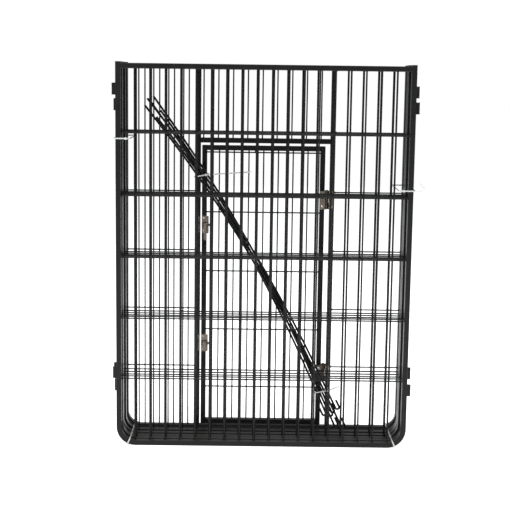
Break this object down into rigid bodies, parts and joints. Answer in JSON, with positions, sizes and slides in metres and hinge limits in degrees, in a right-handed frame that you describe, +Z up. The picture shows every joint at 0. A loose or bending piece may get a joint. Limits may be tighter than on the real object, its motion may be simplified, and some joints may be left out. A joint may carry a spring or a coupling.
{
  "type": "folding wire pet pen",
  "caption": "Flat-packed wire pet pen: framed wire panels tied in a stack, with a hinged door, slide bolts and a bundle of connecting rods.",
  "frame": {"origin": "on the floor, in the middle of the stack, on the underside of the fourth panel's bottom rail", "axes": "+X along the panels, +Y from the front panel to the rear door panel, +Z up"},
  "size_m": [0.6369, 0.1445, 0.8],
  "materials": {
    "frame_coat": "semi-gloss powder coat",
    "wire_coat": "semi-gloss powder coat",
    "rod_coat": "semi-gloss powder coat",
    "plated_steel": "dull nickel plate",
    "rivet_steel": "bright",
    "cap_plastic": "satin",
    "tie_nylon": "translucent nylon"
  },
  "bodies": {
    "stack": {"panel_1_frame": "frame_coat", "panel_1_upright_wires": "wire_coat", "panel_1_cross_wires": "wire_coat", "panel_1_rod_lugs": "frame_coat", "panel_2_frame": "frame_coat", "panel_2_upright_wires": "wire_coat", "panel_2_cross_wires": "wire_coat", "panel_2_rod_lugs": "frame_coat", "panel_3_frame": "frame_coat", "panel_3_upright_wires": "wire_coat", "panel_3_cross_wires": "wire_coat", "panel_3_rod_lugs": "frame_coat", "panel_4_frame": "frame_coat", "panel_4_upright_wires": "wire_coat", "panel_4_cross_wires": "wire_coat", "panel_4_rod_lugs": "frame_coat", "panel_5_frame": "frame_coat", "panel_5_upright_wires": "wire_coat", "panel_5_cross_wires": "wire_coat", "panel_5_rod_lugs": "frame_coat", "door_panel_frame": "frame_coat", "door_panel_opening_frame": "frame_coat", "door_panel_upright_wires": "wire_coat", "door_panel_cross_wires": "wire_coat", "door_panel_rod_lugs": "frame_coat", "post_caps": "cap_plastic", "upper_hinge_post_leaf": "plated_steel", "upper_hinge_pin": "plated_steel", "upper_bolt_keeper": "plated_steel", "lower_hinge_post_leaf": "plated_steel", "lower_hinge_pin": "plated_steel", "lower_bolt_keeper": "plated_steel", "hinge_post_rivets": "rivet_steel", "keeper_rivets": "rivet_steel", "connecting_rod_1": "rod_coat", "connecting_rod_2": "rod_coat", "connecting_rod_3": "rod_coat", "connecting_rod_4": "rod_coat", "connecting_rod_5": "rod_coat", "connecting_rod_6": "rod_coat", "left_tie": "tie_nylon", "right_tie": "tie_nylon", "bottom_left_tie": "tie_nylon", "bottom_right_tie": "tie_nylon", "upper_rod_tie": "tie_nylon", "lower_rod_tie": "tie_nylon"},
    "door": {"door_stiles": "frame_coat", "door_rails": "frame_coat", "door_upright_wires": "wire_coat", "door_cross_wires": "wire_coat", "door_rail_plug": "cap_plastic", "upper_hinge_door_leaf": "plated_steel", "lower_hinge_door_leaf": "plated_steel", "hinge_door_rivets": "rivet_steel", "upper_bolt_plate": "plated_steel", "lower_bolt_plate": "plated_steel", "bolt_plate_rivets": "rivet_steel"},
    "upper_slide_bolt": {"upper_bolt": "plated_steel"},
    "lower_slide_bolt": {"lower_bolt": "plated_steel"}
  },
  "joints": [
    {"name": "door_swing", "type": "hinge", "parent": "stack", "child": "door", "pos_m": [0.13575, 0.068, 0.32], "axis": [0, 0, -1], "range_deg": [0, 170]},
    {"name": "upper_bolt_slide", "type": "slide", "parent": "door", "child": "upper_slide_bolt", "axis": [-1, 0, 0], "range_m": [0, 0.0105]},
    {"name": "lower_bolt_slide", "type": "slide", "parent": "door", "child": "lower_slide_bolt", "axis": [-1, 0, 0], "range_m": [0, 0.0105]}
  ]
}
